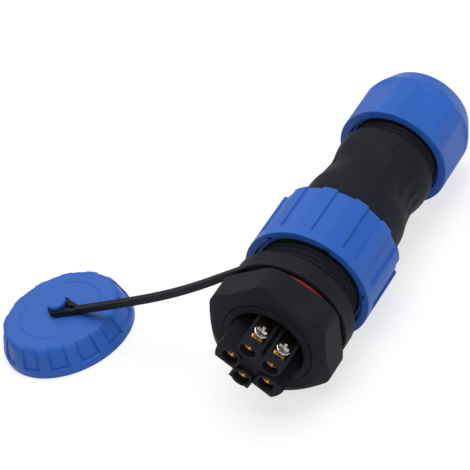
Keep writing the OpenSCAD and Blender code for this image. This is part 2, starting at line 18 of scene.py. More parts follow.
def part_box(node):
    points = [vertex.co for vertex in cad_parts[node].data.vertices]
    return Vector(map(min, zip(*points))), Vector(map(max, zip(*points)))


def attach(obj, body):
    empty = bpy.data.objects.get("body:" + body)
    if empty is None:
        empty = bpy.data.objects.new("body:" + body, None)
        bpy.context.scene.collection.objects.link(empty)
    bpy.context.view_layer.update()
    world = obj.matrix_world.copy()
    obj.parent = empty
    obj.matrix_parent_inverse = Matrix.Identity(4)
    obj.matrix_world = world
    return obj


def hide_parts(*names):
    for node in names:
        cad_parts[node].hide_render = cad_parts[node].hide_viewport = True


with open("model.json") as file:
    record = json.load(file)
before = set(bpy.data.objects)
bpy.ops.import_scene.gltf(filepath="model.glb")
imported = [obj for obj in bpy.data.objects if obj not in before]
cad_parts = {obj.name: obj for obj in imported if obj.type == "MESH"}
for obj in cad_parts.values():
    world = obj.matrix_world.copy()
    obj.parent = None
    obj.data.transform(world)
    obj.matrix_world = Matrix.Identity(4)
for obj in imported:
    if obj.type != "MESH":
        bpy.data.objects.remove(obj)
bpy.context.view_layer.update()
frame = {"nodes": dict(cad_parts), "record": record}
scene = bpy.context.scene
scene.view_settings.view_transform = "Standard"
MM = 0.001


def extent(node):
    """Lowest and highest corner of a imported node, in millimetres."""
    low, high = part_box(node)
    return np.array(low) / MM, np.array(high) / MM


def across(node, axis):
    """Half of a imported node's size along one axis, in millimetres: the radius of a round piece."""
    low, high = extent(node)
    return (high - low)[axis] / 2


# %% [markdown]
# ## The camera
# The picture was taken with a long lens from above and to the right of the terminals, and turned
# about the line of sight. A camera can be aimed with a constraint, but a few lines of vector
# arithmetic say exactly where it stands: start from the point that it looks at, go back along the
# line of sight, and roll.

# %% Camera
AIM_MM = (-25.4, 21.8, 0.0)
DISTANCE_MM = 565.8
AZIMUTH, ELEVATION, ROLL = 41.5, 34.34, 21.93
IMAGE_PX = 470
FOCAL_PX = 2600
SENSOR_MM = 36

a, e = math.radians(AZIMUTH), math.radians(ELEVATION)
back = Vector((math.sin(a) * math.cos(e), -math.cos(a) * math.cos(e), math.sin(e)))
camera = bpy.data.objects.new("camera", bpy.data.cameras.new("camera"))
camera.data.sensor_width = SENSOR_MM
camera.data.lens = FOCAL_PX / IMAGE_PX * SENSOR_MM
camera.data.clip_start, camera.data.clip_end = 0.01, 20
turn = (-back).to_track_quat("-Z", "Y").to_matrix().to_4x4() @ Matrix.Rotation(math.radians(-ROLL), 4, "Z")
camera.matrix_world = Matrix.Translation((Vector(AIM_MM) + back * DISTANCE_MM) * MM) @ turn
scene.collection.objects.link(camera)
scene.camera = camera
print("camera at", [round(v / MM) for v in camera.location], "mm, lens", round(camera.data.lens), "mm")

# %% [markdown]
# ## One way to add a shader node
# Materials are small node trees. One function makes a node, sets its options and fills its inputs,
# where an input may be a value or another node's output. Others turn the hex colours that a colour
# picker gives into the linear values that a renderer works with, start an empty tree, and turn a
# pattern's size into a texture scale.


# %% Node and colour helpers
def add(tree, kind, settings=None, inputs=None):
    """Adds a node of one kind, sets its options, and fills its inputs with values or links."""
    made = tree.nodes.new(kind)
    for name, value in (settings or {}).items():
        setattr(made, name, value)
    for name, value in (inputs or {}).items():
        if isinstance(value, bpy.types.NodeSocket):
            tree.links.new(value, made.inputs[name])
        else:
            made.inputs[name].default_value = value
    return made


def colour(text):
    """Linear RGBA of an sRGB hex colour: each channel is decoded by the sRGB curve."""
    srgb = np.array([int(text[i:i + 2], 16) for i in (1, 3, 5)]) / 255
    linear = np.where(srgb <= 0.04045, srgb / 12.92, ((srgb + 0.055) / 1.055) ** 2.4)
    return (*linear.tolist(), 1.0)


def new_material(name):
    """A material with an empty node tree, and that tree."""
    made = bpy.data.materials.new(name)
    made.use_nodes = True
    made.node_tree.nodes.clear()
    return made, made.node_tree


def per_metre(size_mm):
    """Texture scale that makes a pattern's features about this many millimetres across."""
    return 1 / (size_mm * MM)


# %% [markdown]
# ## Floor and light
# The object lies on a pale table under soft studio light. The floor is a large plane that shows
# nearly white to the camera but still takes the object's shadow: part of its colour is its own and
# part is what the lamps give it. A large soft box above gives most of the light. Weaker ones at the
# right, left and front shape the sides, and a dim world lifts the shadows.

# %% Floor, lamps and world
FLOOR_SIZE, FLOOR_GLOW, WORLD_STRENGTH = 6, 0.7, 0.25
# Each lamp's place and side in metres, and its power in watts
LAMPS = {
    "top box": ((0.1, 0.1, 0.85), 0.8, 6.0),
    "right box": ((0.8, -0.1, 0.4), 0.5, 0.6),
    "left box": ((-0.65, 0.55, 0.55), 0.6, 1.2),
    "front box": ((0.4, -0.7, 0.5), 0.4, 1.0),
}
table_z = extent("cap")[0][2] * MM
floor_mesh = bpy.data.meshes.new("floor")
half = FLOOR_SIZE / 2
corners = [(-half, -half, table_z), (half, -half, table_z), (half, half, table_z), (-half, half, table_z)]
floor_mesh.from_pydata(corners, [], [(0, 1, 2, 3)])
floor = bpy.data.objects.new("floor", floor_mesh)
scene.collection.objects.link(floor)

paper, tree = new_material("white paper sweep")
rays = add(tree, "ShaderNodeLightPath")
seen = add(tree, "ShaderNodeMath", {"operation": "MAXIMUM"},
           {0: rays.outputs["Is Camera Ray"], 1: rays.outputs["Is Glossy Ray"]})
seen = add(tree, "ShaderNodeMath", {"operation": "MAXIMUM"},
           {0: seen.outputs[0], 1: rays.outputs["Is Transmission Ray"]})
matt = add(tree, "ShaderNodeBsdfDiffuse", None, {"Color": colour("#e6e6e6")})
dim = add(tree, "ShaderNodeBsdfDiffuse", None, {"Color": colour("#a0a0a0")})
glow = add(tree, "ShaderNodeEmission", None, {"Color": colour("#ffffff"), "Strength": FLOOR_GLOW})
shown = add(tree, "ShaderNodeAddShader", None, {0: dim.outputs[0], 1: glow.outputs[0]})
mixed = add(tree, "ShaderNodeMixShader", None,
            {0: seen.outputs[0], 1: matt.outputs[0], 2: shown.outputs[0]})
add(tree, "ShaderNodeOutputMaterial", None, {"Surface": mixed.outputs[0]})
floor_mesh.materials.append(paper)


def soft_box(name, place, size, watts):
    """A square area lamp that looks at the object's middle."""
    lamp = bpy.data.lights.new(name, "AREA")
    lamp.shape = "SQUARE"
    lamp.size = size
    lamp.energy = watts
    made = bpy.data.objects.new(name, lamp)
    toward = Vector(AIM_MM) * MM - Vector(place)
    made.matrix_world = Matrix.Translation(place) @ toward.to_track_quat("-Z", "Y").to_matrix().to_4x4()
    scene.collection.objects.link(made)


for lamp_name, lamp_values in LAMPS.items():
    soft_box(lamp_name, *lamp_values)
world = bpy.data.worlds.new("studio")
world.use_nodes = True
backdrop = world.node_tree.nodes["Background"]
backdrop.inputs["Color"].default_value = colour("#f4f6ff")
backdrop.inputs["Strength"].default_value = WORLD_STRENGTH
scene.world = world
print("floor at", round(table_z / MM, 2), "mm,", len(LAMPS), "soft boxes")

# %% [markdown]
# ## Finishes
# Nearly everything here is moulded nylon. A mould is spark-eroded, which leaves a skin of tiny pits:
# it breaks up the highlights without hiding the gloss. The true pits are about 0.05 mm across and
# too fine to show, so they are drawn at about 0.25 mm. Broad, very faint clouds come from the melt's
# flow. The metals are drawn brass, with fine lines along the bar, and bright nickel plate.


# %% Moulded plastic, rubber and metal
CLOUD_MM = 7
MOULDED_EDGE_MM, METAL_EDGE_MM = 0.12, 0.06


def moulded(name, light, dark, rough, pit_mm, pit_depth_mm, ior=1.53, shine=0.3):
    """Moulded polymer: two close colours in broad clouds, and a skin of pits in roughness and bump."""
    made, tree = new_material(name)
    place = add(tree, "ShaderNodeTexCoord").outputs["Object"]
    clouds = add(tree, "ShaderNodeTexNoise", None,
                 {"Vector": place, "Scale": per_metre(CLOUD_MM), "Detail": 3.0, "Roughness": 0.55})
    tint = add(tree, "ShaderNodeMix", {"data_type": "RGBA"},
               {0: clouds.outputs["Fac"], 6: colour(dark), 7: colour(light)})
    pits = add(tree, "ShaderNodeTexNoise", None,
               {"Vector": place, "Scale": per_metre(pit_mm), "Detail": 2.0, "Roughness": 0.5})
    gloss = add(tree, "ShaderNodeMapRange", None,
                {"Value": pits.outputs["Fac"], "From Min": 0.3, "From Max": 0.7,
                 "To Min": rough - 0.06, "To Max": rough + 0.06})
    soft_edge = add(tree, "ShaderNodeBevel", {"samples": 4}, {"Radius": MOULDED_EDGE_MM * MM})
    skin = add(tree, "ShaderNodeBump", None,
               {"Strength": 0.6, "Distance": pit_depth_mm * MM, "Height": pits.outputs["Fac"],
                "Normal": soft_edge.outputs[0]})
    surface = add(tree, "ShaderNodeBsdfPrincipled", None,
                  {"Base Color": tint.outputs[2], "Roughness": gloss.outputs[0], "IOR": ior,
                   "Specular IOR Level": shine, "Normal": skin.outputs[0]})
    add(tree, "ShaderNodeOutputMaterial", None, {"Surface": surface.outputs[0]})
    return made


def drawn_metal(name, light, dark, rough, line_mm, stretch):
    """Drawn or plated metal: fine lines along Y, made from noise that is stretched along the bar."""
    made, tree = new_material(name)
    place = add(tree, "ShaderNodeTexCoord").outputs["Object"]
    along = add(tree, "ShaderNodeMapping", None, {"Vector": place, "Scale": (1, 1 / stretch, 1)})
    lines = add(tree, "ShaderNodeTexNoise", None,
                {"Vector": along.outputs[0], "Scale": per_metre(line_mm), "Detail": 3.0})
    tint = add(tree, "ShaderNodeMix", {"data_type": "RGBA"},
               {0: lines.outputs["Fac"], 6: colour(dark), 7: colour(light)})
    gloss = add(tree, "ShaderNodeMapRange", None,
                {"Value": lines.outputs["Fac"], "From Min": 0.3, "From Max": 0.7,
                 "To Min": rough - 0.05, "To Max": rough + 0.07})
    soft_edge = add(tree, "ShaderNodeBevel", {"samples": 4}, {"Radius": METAL_EDGE_MM * MM})
    marks = add(tree, "ShaderNodeBump", None,
                {"Strength": 0.25, "Distance": 0.01 * MM, "Height": lines.outputs["Fac"],
                 "Normal": soft_edge.outputs[0]})
    surface = add(tree, "ShaderNodeBsdfPrincipled", None,
                  {"Base Color": tint.outputs[2], "Metallic": 1.0, "Roughness": gloss.outputs[0],
                   "Normal": marks.outputs[0]})
    add(tree, "ShaderNodeOutputMaterial", None, {"Surface": surface.outputs[0]})
    return made


FINISH = {
    "black_plastic": moulded("black nylon, spark-eroded", "#26272d", "#1f2025", rough=0.55,
                             pit_mm=0.25, pit_depth_mm=0.02, shine=0.06),
    "blue_plastic": moulded("blue nylon, spark-eroded", "#3469c3", "#2e61b8", rough=0.42,
                            pit_mm=0.25, pit_depth_mm=0.012, shine=0.18),
    "red_silicone": moulded("red silicone, die-cut", "#96231f", "#841c1a", rough=0.55,
                            pit_mm=0.3, pit_depth_mm=0.01, ior=1.41),
    "black_rubber": moulded("black elastomer, moulded", "#222329", "#1b1c21", rough=0.55,
                            pit_mm=0.3, pit_depth_mm=0.02, ior=1.5, shine=0.12),
    "brass": drawn_metal("brass bar, drawn", "#e2ac52", "#c08a3a", rough=0.24, line_mm=0.12, stretch=12),
    "nickel_steel": drawn_metal("bright nickel plate", "#e4e2dc", "#cfccc4", rough=0.16, line_mm=0.3,
                                stretch=1),
}
for row in frame["record"]["subparts"]:
    slots = frame["nodes"][row["node"]].data.materials
    slots.clear()
    slots.append(FINISH[row["material_slot"]])
print("finishes:", ", ".join(material.name for material in FINISH.values()))

# %% [markdown]
# ## Surfaces from formulas
# Most of these pieces were turned or moulded round an axis. Blender could spin or screw a profile,
# but a grid of points worked out with numpy says the same in one formula and lets the radius depend
# on the angle too: that is how ribs, panels and flats are made here. A profile is a short list of
# corners, each with its own rounding, and a piece is one or more closed sheets joined into a mesh.


# %% Profile, grid and piece helpers
# A rounding takes at most this share of a side, and gets a point for each step of its bend
ROUNDING_SHARE, BEND_STEP = 0.48, 0.3
# Least distance between points of a profile, and the lengths below which vertices merge and edges go
LEAST_STEP, MERGE_MM, SLIVER_MM = 0.003, 1e-4, 1e-5


def smooth(x):
    """Rises from 0 to 1 as x goes from 0 to 1, level at both ends: 3x squared less 2x cubed."""
    x = np.clip(x, 0, 1)
    return x * x * (3 - 2 * x)


def rounded(corners, closed=True, step=0.6, margin=0.1):
    """Path through corners (radius, height, rounding), in millimetres.

    Each corner becomes the quadratic curve that has the corner as its control point and starts and
    ends where an arc of that rounding would touch the sides. Long sides get a point close to each
    end, which keeps their shading flat, and one at every step.
    """
    points = np.array([c[:2] for c in corners], float)
    parts = []
    for i, (here, size) in enumerate(zip(points, [c[2] for c in corners])):
        if size == 0 or (not closed and i in (0, len(points) - 1)):
            parts.append(here[None])
            continue
        before, after = points[i - 1] - here, points[(i + 1) % len(points)] - here
        lengths = np.linalg.norm([before, after], axis=1)
        bend = math.acos(np.clip(-(before @ after) / lengths.prod(), -1, 1))
        reach = min(size * math.tan(bend / 2), ROUNDING_SHARE * lengths.min())
        first, last = here + before / lengths[0] * reach, here + after / lengths[1] * reach
        t = np.linspace(0, 1, 4 + int(bend / BEND_STEP))[:, None]
        parts.append((1 - t) ** 2 * first + 2 * t * (1 - t) * here + t * t * last)
    path = np.vstack(parts + ([parts[0][:1]] if closed else []))
    length = np.hypot(*np.diff(path, axis=0).T)
    at = np.concatenate([[0], np.cumsum(length)])
    long = length > 4 * margin
    wanted = np.concatenate([at, np.arange(0, at[-1], step), at[:-1][long] + margin, at[1:][long] - margin])
    wanted = np.unique(np.round(wanted, 4))
    wanted = wanted[np.concatenate([[True], np.diff(wanted) > LEAST_STEP])]
    path = np.stack([np.interp(wanted, at, path[:, k]) for k in (0, 1)], axis=1)
    return path[:-1] if closed else path


def about_y(radius, height, angle):
    """Points about the connector's axis: angle 0 is +X and a quarter turn is +Z."""
    return np.stack([radius * np.cos(angle), height + 0 * angle, radius * np.sin(angle)], axis=-1)


def revolve(path, angles, rule=None, place=about_y):
    """Grid of points: the profile at every angle, where rule(radius, height, angle) bends the radius."""
    radius, height = path[:, :1], path[:, 1:]
    angle = angles[None, :]
    bent = rule(radius, height, angle) if rule else radius + 0 * angle
    return place(bent, height, angle)


def sheet(points, loop_rows=True, loop_columns=True):
    """Vertices and quads of a grid, joined round where a direction is a closed loop."""
    rows, columns = points.shape[:2]
    index = np.arange(rows * columns).reshape(rows, columns)
    index = np.vstack([index, index[:1]]) if loop_rows else index
    index = np.hstack([index, index[:, :1]]) if loop_columns else index
    quads = np.stack([index[:-1, :-1], index[1:, :-1], index[1:, 1:], index[:-1, 1:]], axis=-1)
    return points.reshape(-1, 3), quads.reshape(-1, 4)


def piece(name, body, slot, sheets, replaces):
    """One object from several sheets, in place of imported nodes: doubles merged, faces outward."""
    counts = np.cumsum([0] + [len(points) for points, _ in sheets])
    points = np.vstack([points for points, _ in sheets]) * MM
    quads = np.vstack([quads + start for (_, quads), start in zip(sheets, counts)])
    mesh = bpy.data.meshes.new(name)
    mesh.vertices.add(len(points))
    mesh.vertices.foreach_set("co", points.ravel())
    mesh.loops.add(quads.size)
    mesh.loops.foreach_set("vertex_index", quads.ravel())
    mesh.polygons.add(len(quads))
    mesh.polygons.foreach_set("loop_start", np.arange(0, quads.size, 4))
    mesh.update(calc_edges=True)
    made = bmesh.new()
    made.from_mesh(mesh)
    bmesh.ops.remove_doubles(made, verts=made.verts, dist=MERGE_MM * MM)
    bmesh.ops.dissolve_degenerate(made, edges=made.edges, dist=SLIVER_MM * MM)
    bmesh.ops.recalc_face_normals(made, faces=made.faces)
    made.to_mesh(mesh)
    made.free()
    mesh.shade_smooth()
    mesh.materials.append(FINISH[slot])
    obj = bpy.data.objects.new(name, mesh)
    scene.collection.objects.link(obj)
    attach(obj, body)
    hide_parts(*replaces)
    print(f"{name}: {len(mesh.polygons)} faces")


def even(count):
    """Evenly spread angles of a full turn."""
    return np.arange(count) * 2 * math.pi / count


def with_edges(angles, edges, wall):
    """The angles, and six more across each edge, so that a wall of that angle keeps its shape."""
    close = np.asarray(edges)[:, None] + wall * np.linspace(-0.7, 0.7, 6)
    return np.unique(np.round(np.concatenate([angles, close.ravel()]) % (2 * math.pi), 5))


def on_rib(angle, count, first, half_width, wall):
    """1 on a rib and 0 between ribs, by the angle to the nearest of the evenly spread rib centres."""
    pitch = 2 * math.pi / count
    away = np.abs((angle - first + pitch / 2) % pitch - pitch / 2)
    return smooth((half_width - away) / wall + 0.5)


def rib_edges(count, first, half_width):
    """Both edges of each of the evenly spread ribs."""
    centres = first + even(count)
    return np.concatenate([centres - half_width, centres + half_width])


def hexagon(angle, flats, corner, sharpness):
    """Radius of a hexagon with rounded corners.

    A point lies on it where the sum of the powers of its six distances along the flats' normals,
    each over half the size across flats, is one. A higher power gives a sharper corner.
    """
    normals = corner + math.pi / 6 + even(6)
    along = np.clip(np.cos(angle[..., None] - normals), 1e-6, None)
    return flats / 2 / (along ** sharpness).sum(axis=-1) ** (1 / sharpness)


# %% [markdown]
# ## Threads that screw together
# A thread is a ridge carried along a helix and laid on a plain tube: far fewer faces than a grid that
# is fine enough everywhere. A nut's ridge runs half a pitch behind the ridge of its tube. The joint
# moves the nut by one pitch for each turn, so the two stay in step.

# %% Threads
THREAD_PITCH, THREAD_DEPTH = 1.5, 0.75
POINTS_PER_TURN, FADE_TURNS, THREAD_SUNK = 110, 0.25, 0.06
# Distance from a ridge's middle as a share of the pitch, and height there as a share of the depth
RIDGE_WIDTH = np.array([-0.42, -0.36, -0.12, -0.06, 0.06, 0.12, 0.36, 0.42])
RIDGE_RISE = np.array([0, 0.12, 0.9, 1, 1, 0.9, 0.12, 0])
FLANGE_T, BODY_LEN = 3.35, 23.8
coupling_start = FLANGE_T + 0.6
gland_start = extent("back_body")[0][1] + BODY_LEN + 0.5
panel_start = extent("socket_shell")[0][1] + 1.6
# Plain stretch in the front of a nut, before its ridge may start
RIDGE_LEAD = 1.9


def thread(crest, root, start, end, place=about_y, outward=True):
    """Right-handed ridge: a trapezium carried along a helix, which fades out at both ends."""
    turns = (end - start) / THREAD_PITCH
    t = np.linspace(0, turns, int(POINTS_PER_TURN * turns))[:, None]
    fade = smooth(t / FADE_TURNS) * smooth((turns - t) / FADE_TURNS)
    sunk = -THREAD_SUNK if outward else THREAD_SUNK
    width = RIDGE_WIDTH[None] * THREAD_PITCH
    radius = root + sunk + RIDGE_RISE[None] * (crest - root) * fade
    return place(radius, start + t * THREAD_PITCH + width, -2 * math.pi * t + 0 * width)


def inner_thread(outer_start, crest, root, start, end):
    """Ridge in a nut's bore, half a pitch behind the ridge that starts at outer_start on its tube."""
    turns = math.ceil((start - outer_start) / THREAD_PITCH - 0.5) + 0.5
    return thread(crest, root, outer_start + turns * THREAD_PITCH, end, outward=False)


print("threads start at", [round(v, 2) for v in (panel_start, coupling_start, gland_start)], "mm")

# %% [markdown]
# ## Coupling ring
# The blue ring pulls plug and socket together. It was moulded in a sleeve with twelve panels, which
# leave ribs between them for the fingers. It could be cut with booleans, but then its edges would be
# razor sharp: here the ribs are part of the radius formula, with walls of a set width.

# %% Coupling ring
RING_BAND, RING_GRIP, RING_RIBS, RING_FIRST = 2.35, 0.55, 12, math.radians(48)
RING_HALF_RIB, RING_WALL, BAND_STEP = math.pi / RING_RIBS * 0.44, 0.012, 0.18
RING_BORE, HUB_R, CHAMBER_R = 11.66, 10.36, 11.55
CHAMBER_FRONT, CHAMBER_REAR = 16.2, 19.35
RELIEF_R, RELIEF_DEPTH = 12.725, 1.25
NOTCHES, NOTCH_FIRST, NOTCH_HALF, NOTCH_WALL = 6, math.radians(51), 0.058, 0.02
NOTCH_CUT, NOTCH_DEPTH = 0.7, 0.8
RING_RIDGE_R, RING_RIDGE_END = 11.0, 15.6
RING_SKIN, SKIN_FADE, NOTCH_STEP, NOTCH_FADE = 1.3, 0.7, 0.2, 1.3
(_, ring_front, _), (_, ring_rear, _) = extent("coupling_ring")
ring_r = across("coupling_ring", 0)


def ring_radius(radius, height, angle):
    """Panels sunk between the ribs behind the front band, and six notches in the front's inner edge."""
    panel = 1 - on_rib(angle, RING_RIBS, RING_FIRST, RING_HALF_RIB, RING_WALL)
    behind = smooth((height - ring_front - RING_BAND) / BAND_STEP + 0.5)
    outer = smooth((radius - ring_r + RING_SKIN) / SKIN_FADE)
    notch = on_rib(angle, NOTCHES, NOTCH_FIRST, NOTCH_HALF, NOTCH_WALL)
    shallow = smooth((ring_front + NOTCH_DEPTH - height) / NOTCH_STEP + 0.5)
    inner = np.clip(1 - (radius - RELIEF_R) / NOTCH_FADE, 0, 1) * (radius > RELIEF_R - 0.1)
    return radius - RING_GRIP * panel * behind * outer + NOTCH_CUT * notch * shallow * inner


band_end, relief_end = ring_front + RING_BAND, ring_front + RELIEF_DEPTH
ring_path = rounded(
    [(RELIEF_R, ring_front, 0.15), (ring_r, ring_front, 0.28)]
    + [(ring_r, band_end + step, 0) for step in (-0.2, -0.06, 0.06, 0.2)]
    + [(ring_r, ring_rear, 0.7), (HUB_R, ring_rear, 0.35), (HUB_R, CHAMBER_REAR, 0),
       (CHAMBER_R, CHAMBER_REAR, 0), (CHAMBER_R, CHAMBER_FRONT, 0), (RING_BORE, CHAMBER_FRONT, 0),
       (RING_BORE, relief_end, 0), (RELIEF_R, relief_end, 0),
       (RELIEF_R, ring_front + NOTCH_DEPTH + NOTCH_STEP / 2, 0),
       (RELIEF_R, ring_front + NOTCH_DEPTH - NOTCH_STEP / 2, 0)])
ring_angles = with_edges(even(180), rib_edges(RING_RIBS, RING_FIRST, RING_HALF_RIB), RING_WALL)
ring_angles = with_edges(ring_angles, rib_edges(NOTCHES, NOTCH_FIRST, NOTCH_HALF), NOTCH_WALL)
ring_ridge = inner_thread(coupling_start, RING_RIDGE_R, RING_BORE, ring_front + RIDGE_LEAD, RING_RIDGE_END)
piece("ring_moulding", "coupling_ring", "blue_plastic",
      [sheet(revolve(ring_path, ring_angles, ring_radius)), sheet(ring_ridge, False, True)],
      ["coupling_ring"])

# %% [markdown]
# ## Gland nut
# The rear nut squeezes the rubber bush on the cable. It has a round bead in front, six shallow flats
# for a spanner and a cone behind. The flats are a hexagon that is laid over the round profile: where
# the hexagon is smaller, it takes over.

# %% Gland nut
GLAND_FLATS, GLAND_CORNER, GLAND_SHARPNESS = 23.9, math.radians(20), 45
GLAND_BEAD, BEAD_STEP = 0.9, 0.6
GLAND_NOSE, NOSE_STEP, NOSE_ROUNDING, NOSE_IN, NOSE_CHAMFER = 5.2, 2.4, 2.8, 2.05, 0.5
GLAND_BORE, GLAND_RELIEF_R, GLAND_SKIN_R = 10.06, 10.8, 11.2
MOUTH_R, MOUTH_LEN = 6.5, 1
WASHER_R, WASHER_SEAT = 9.66, 61.7
CONE_R, CONE_FOOT = 9.3, 62.7
GLAND_RIDGE_R, GLAND_RIDGE_END = 9.45, 61.0
(_, gland_front, _), (_, gland_rear, _) = extent("gland_nut")
gland_r = across("gland_nut", 2)
bead_end, shoulder = gland_front + GLAND_BEAD, gland_rear - GLAND_NOSE
gland_relief_end = gland_front + RELIEF_DEPTH


def gland_radius(radius, height, angle):
    """The smaller of the round profile and the hexagon, between the bead and the shoulder."""
    flat = hexagon(angle, GLAND_FLATS, GLAND_CORNER, GLAND_SHARPNESS)
    between = smooth((height - bead_end) / BEAD_STEP + 0.5) * smooth((shoulder - height) / NOSE_STEP + 0.5)
    return radius - between * np.clip(radius - flat, 0, None) * (radius > GLAND_SKIN_R)


gland_path = rounded(
    [(GLAND_RELIEF_R, gland_front, 0.3), (gland_r, gland_front, 0.35)]
    + [(gland_r, bead_end + step, 0) for step in (-0.2, 0, 0.2)]
    + [(gland_r, shoulder - 2.2, 0), (gland_r, shoulder, NOSE_ROUNDING),
       (gland_r - NOSE_IN, gland_rear - NOSE_CHAMFER, 0.9),
       (gland_r - NOSE_IN - NOSE_CHAMFER, gland_rear, 0.4), (MOUTH_R, gland_rear, 0.4),
       (MOUTH_R, gland_rear - MOUTH_LEN, 0.2), (CONE_R, CONE_FOOT, 0), (WASHER_R, CONE_FOOT, 0),
       (WASHER_R, WASHER_SEAT, 0), (GLAND_BORE, WASHER_SEAT, 0),
       (GLAND_BORE, gland_relief_end, 0), (GLAND_RELIEF_R, gland_relief_end, 0)], step=0.4)
nut_ridge = inner_thread(gland_start, GLAND_RIDGE_R, GLAND_BORE, gland_front + RIDGE_LEAD, GLAND_RIDGE_END)
piece("gland_nut_moulding", "gland_nut", "blue_plastic",
      [sheet(revolve(gland_path, even(240), gland_radius)), sheet(nut_ridge, False, True)], ["gland_nut"])

# %% [markdown]
# ## Back body
# The black body carries the cable from the plug to the gland. Its waist follows two half cosines,
# and five low ribs on each side give a grip. A small dimple shows where the melt came in.

# %% Back body
BODY_RIB_TURN, BODY_RIB_PITCH, BODY_RIBS = math.radians(12), math.radians(18), 5
BODY_HALF_RIB, BODY_RIB_WALL = math.radians(4.25), 0.1
RIB_AHEAD, RIB_BEHIND = 7, 6
GATE_Y, GATE_TURN, GATE_R, GATE_DEPTH, GATE_SPREAD = 43.7, math.radians(50.5), 0.5, 0.3, 0.12
WAIST_R, WAIST_AT, FALL_LEN, RISE_LEN = 10.0, 14.8, 8, 7
RIB_TOPS = [11.2, WAIST_R + 0.3, 10.78]
BODY_COLLAR_R, GLAND_TUBE_R, BODY_SKIN_R = 11.0, 10.0, 9.6
RECESS_R, RECESS_DEPTH, FRONT_STEP = 10.33, 1.7, 0.1
GLAND_RUNOUT = 0.8
NECK_R, NECK_END, WIRING_R = 9.33, 32.3, 8.65
LEDGE_R, LEDGE_FRONT, LEDGE_REAR, BUSH_R = 6.0, 1.9, 0.4, 7.9
(_, body_front, _), (_, tube_end, _) = extent("back_body")
front_r = across("back_body", 0)
waist_y, body_rear = body_front + WAIST_AT, body_front + BODY_LEN


def waist(height):
    """Body radius: a half cosine down to the waist over 8 mm, and one up to the collar over 7 mm."""
    fall = 1 - np.cos(np.pi * np.clip((waist_y - height) / FALL_LEN, 0, 1))
    rise = 1 - np.cos(np.pi * np.clip((height - waist_y) / RISE_LEN, 0, 1))
    return WAIST_R + (front_r - FRONT_STEP - WAIST_R) * fall / 2 + (BODY_COLLAR_R - WAIST_R) * rise / 2


def body_radius(radius, height, angle):
    """The waist with ribs, mirrored left and right: where a rib's top stands higher, it takes over."""
    mirrored = np.arctan2(np.sin(angle), np.abs(np.cos(angle)))
    side = np.abs(mirrored - BODY_RIB_TURN)
    nearest = np.abs((side + BODY_RIB_PITCH / 2) % BODY_RIB_PITCH - BODY_RIB_PITCH / 2)
    rib = smooth((BODY_HALF_RIB - nearest) / BODY_RIB_WALL + 0.5) * (side < BODY_RIB_PITCH * BODY_RIBS / 2)
    top = np.interp(height, [waist_y - RIB_AHEAD, waist_y, waist_y + RIB_BEHIND], RIB_TOPS)
    skin = radius > BODY_SKIN_R
    ribbed = (height > waist_y - RIB_AHEAD) & (height < waist_y + RIB_BEHIND) & skin
    from_gate = np.hypot(height - GATE_Y, radius * (angle - GATE_TURN))
    dimple = GATE_DEPTH * smooth(1.4 - from_gate / GATE_R) * skin
    return radius + rib * ribbed * np.clip(top - radius, 0, None) - dimple


curve_y = np.linspace(waist_y - FALL_LEN, waist_y + RISE_LEN, 60)
gland_root = GLAND_TUBE_R - THREAD_DEPTH
ledge_front, ledge_rear = body_rear - LEDGE_FRONT, body_rear - LEDGE_REAR
recess_end = body_front + RECESS_DEPTH
body_path = rounded(
    [(RECESS_R, body_front, 0.1), (front_r, body_front, 0.4)]
    + [(r, y, 0) for r, y in zip(waist(curve_y), curve_y)]
    + [(BODY_COLLAR_R, body_rear, 0.35), (gland_root, body_rear, 0.1), (gland_root, tube_end, 0.4),
       (BUSH_R, tube_end, 0.2), (BUSH_R, ledge_rear, 0), (LEDGE_R, ledge_rear, 0),
       (LEDGE_R, ledge_front, 0), (WIRING_R, ledge_front, 0), (WIRING_R, NECK_END, 0),
       (NECK_R, NECK_END, 0), (NECK_R, recess_end, 0), (RECESS_R, recess_end, 0)], step=1.2)
side_centres = np.arange(BODY_RIBS) - (BODY_RIBS - 1) / 2
right_centres = BODY_RIB_TURN + side_centres * BODY_RIB_PITCH
rib_centres = np.concatenate([right_centres, math.pi - right_centres])
rib_sides = np.concatenate([rib_centres - BODY_HALF_RIB, rib_centres + BODY_HALF_RIB])
body_angles = with_edges(even(120), rib_sides, BODY_RIB_WALL)
body_angles = with_edges(body_angles, [GATE_TURN], GATE_SPREAD)
gland_ridge = thread(GLAND_TUBE_R, gland_root, gland_start, tube_end - GLAND_RUNOUT)
piece("back_body_moulding", "plug", "black_plastic",
      [sheet(revolve(body_path, body_angles, body_radius)), sheet(gland_ridge, False, True)], ["back_body"])

# %% [markdown]
# ## Socket shell
# One black moulding: a rear tube for the panel nut, a flange, and a coupling tube for the ring. Both
# tubes are threaded, so both get a ridge of the same pitch.

